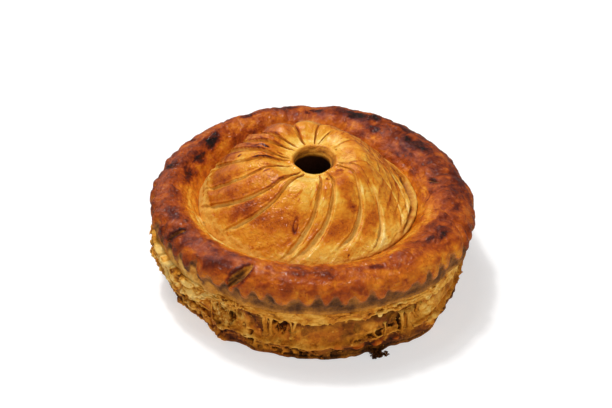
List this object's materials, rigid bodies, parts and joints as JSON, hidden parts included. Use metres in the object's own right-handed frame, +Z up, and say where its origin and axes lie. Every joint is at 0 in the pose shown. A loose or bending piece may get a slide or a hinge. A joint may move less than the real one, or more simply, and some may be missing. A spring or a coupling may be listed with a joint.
{
  "type": "pork pie",
  "caption": "Round raised puff-pastry pie with a flaky wall, a thick glazed scalloped rim and a spiral-scored domed lid with a steam vent.",
  "frame": {"origin": "on the table under the middle of the pie, in the flat underside of the base crust", "axes": "+Z up through the vent, -Y towards the front of the pie"},
  "size_m": [0.1772, 0.1795, 0.0727],
  "materials": {
    "baked_pastry": "matt flaky golden-tan puff pastry, brown in the hollows",
    "glazed_rim": "egg-washed crust, glossy orange-brown to mahogany with a few near-black burnt patches",
    "glazed_lid": "egg-washed golden crust, satin, pale in the scored cuts and at the foot"
  },
  "bodies": {
    "root": {"base_crust": "baked_pastry", "rim_crust": "glazed_rim", "dome_lid": "glazed_lid"}
  },
  "joints": []
}
